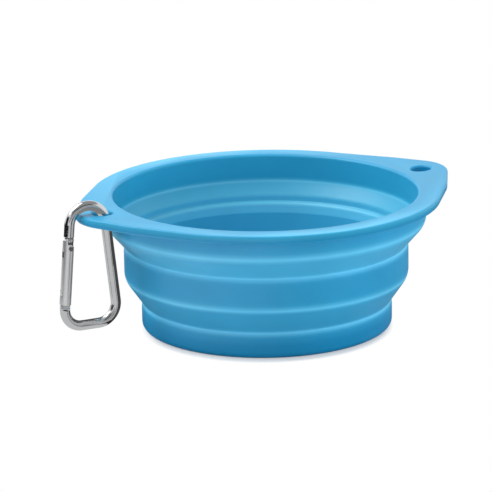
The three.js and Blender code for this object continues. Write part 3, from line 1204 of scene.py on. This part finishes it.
def make_floor():
    """A pale sweep: matt where the bowl's shadow falls, and white further out."""
    bpy.ops.object.select_all(action="DESELECT")
    bpy.ops.mesh.primitive_plane_add(size=floor_size, location=(0, 0, -floor_drop))
    floor = bpy.context.object
    floor.name = "floor"
    material = bpy.data.materials.new("pale_floor")
    material.use_nodes = True
    tree = material.node_tree
    tree.nodes.clear()
    path = tree.nodes.new("ShaderNodeLightPath")
    matt = tree.nodes.new("ShaderNodeBsdfDiffuse")
    grey = between(tree, path.outputs["Is Camera Ray"], floor_grey_for_light, floor_grey_for_camera)
    tree.links.new(grey, matt.inputs["Color"])
    glow = tree.nodes.new("ShaderNodeEmission")
    mix = tree.nodes.new("ShaderNodeMixShader")
    output = tree.nodes.new("ShaderNodeOutputMaterial")
    place_on = tree.nodes.new("ShaderNodeTexCoord")
    away = tree.nodes.new("ShaderNodeVectorMath")
    away.operation = "DISTANCE"
    away.inputs[1].default_value = shadow_centre
    tree.links.new(place_on.outputs["Object"], away.inputs[0])
    share = between(tree, away.outputs["Value"], shadow_glow, 1.0)
    share.node.inputs["From Min"].default_value = base_radius - foot_rounding
    share.node.inputs["From Max"].default_value = base_radius + white_beyond
    seen_share = tree.nodes.new("ShaderNodeMath")
    seen_share.operation = "MULTIPLY"
    tree.links.new(share, seen_share.inputs[0])
    tree.links.new(seen_directly(tree), seen_share.inputs[1])
    tree.links.new(seen_share.outputs[0], mix.inputs["Fac"])
    tree.links.new(matt.outputs[0], mix.inputs[1])
    tree.links.new(glow.outputs[0], mix.inputs[2])
    tree.links.new(mix.outputs[0], output.inputs["Surface"])
    floor.data.materials.append(material)


def make_card(card, brightness, one_sided=False):
    """Makes a shape a plain card that only reflections see, clear from behind if it is one-sided."""
    material = bpy.data.materials.new(card.name)
    material.use_nodes = True
    tree = material.node_tree
    tree.nodes.clear()
    glow = tree.nodes.new("ShaderNodeEmission")
    glow.inputs["Strength"].default_value = brightness
    surface = glow.outputs[0]
    if one_sided:
        side = tree.nodes.new("ShaderNodeNewGeometry")
        clear = tree.nodes.new("ShaderNodeBsdfTransparent")
        mix = tree.nodes.new("ShaderNodeMixShader")
        tree.links.new(side.outputs["Backfacing"], mix.inputs["Fac"])
        tree.links.new(glow.outputs[0], mix.inputs[1])
        tree.links.new(clear.outputs[0], mix.inputs[2])
        surface = mix.outputs[0]
    output = tree.nodes.new("ShaderNodeOutputMaterial")
    tree.links.new(surface, output.inputs["Surface"])
    card.data.materials.append(material)
    card.visible_camera = False
    card.visible_diffuse = False
    card.visible_shadow = False
    card.visible_transmission = False


def add_card(name, x, y, z, brightness):
    """A flat card that spans these ranges along the axes."""
    low, high = (Vector(corner) for corner in zip(x, y, z))
    make_card(block(name, low, high), brightness)


def add_ear_card(name, height, turn, brightness):
    """A card close over or under the hook's ear, clear from behind so that the ear keeps its sheen."""
    inner_end = collar_radius - collar_wall
    bpy.ops.object.select_all(action="DESELECT")
    bpy.ops.mesh.primitive_plane_add(size=1)
    card = new_piece(name)
    only(card)
    size = Matrix.Diagonal((ear_tip - inner_end, ear_card_width, 1, 1))
    middle = Matrix.Translation((-(ear_tip + inner_end) / 2, 0, height))
    place(card, middle @ Matrix.Rotation(turn, 4, "X") @ size)
    make_card(card, brightness, one_sided=True)


make_camera()
make_world()
make_floor()
add_softbox("overhead_softbox", spot=(-0.42, 0.30, 0.76), target=(0, 0, 0.04), size=(0.7, 0.7), power=6.3)
add_softbox("front_softbox", spot=(1.00, -0.75, 0.19), target=(0, 0, 0.03), size=(1.3, 0.32), power=5.6,
            reflected=False)
add_card("grey_card_on_the_floor", (-0.235, -0.06), floor_card_depth, floor_card_height, 0.72)
add_card("dark_card_on_the_floor", (-0.06, 0.02), floor_card_depth, floor_card_height, 0.03)
add_card("dim_card_on_the_right", (0.02, 0.40), floor_card_depth, floor_card_height, 0.20)
add_card("black_card_on_the_left", (-0.64, -0.245), left_card_depth, black_card_height, 0.01)
add_card("black_card_behind_on_the_left", (-0.245, -0.06), (0.16, 0.45), black_card_height, 0.01)
add_card("black_flag_on_the_left", (-0.64, -0.64), left_card_depth, (0.0, 0.32), 0.01)
add_card("dark_card_beside_the_hook", hook_card_place, (-0.013, 0.060), hook_card_height, 0.08)
add_card("dark_card_by_the_collar", collar_card_place, (-0.008, 0.060), collar_card_height, 0.08)
add_card("grey_card_beside_the_hook", hook_card_place, (-0.042, -0.013), hook_card_height, 0.60)
add_card("grey_card_by_the_collar", collar_card_place, (-0.042, -0.008), collar_card_height, 0.60)
add_card("grey_card_in_front", (-1.5, 1.0), front_card_place, (0.0, 0.75), 0.42)
add_card("black_strip_in_front", (-1.5, 1.0), front_card_place, (0.75, 1.3), 0.02)
add_card("grey_ceiling", (-1.5, 1.5), (-1.3, 1.5), (1.3, 1.3), 0.36)
add_ear_card("grey_card_on_the_ear", bowl_height + ear_card_gap, 0, 0.30)
add_ear_card("pale_card_under_the_ear", bowl_height - flange_thickness - ear_card_gap, math.pi, 0.75)
bpy.context.scene.view_settings.view_transform = "Standard"
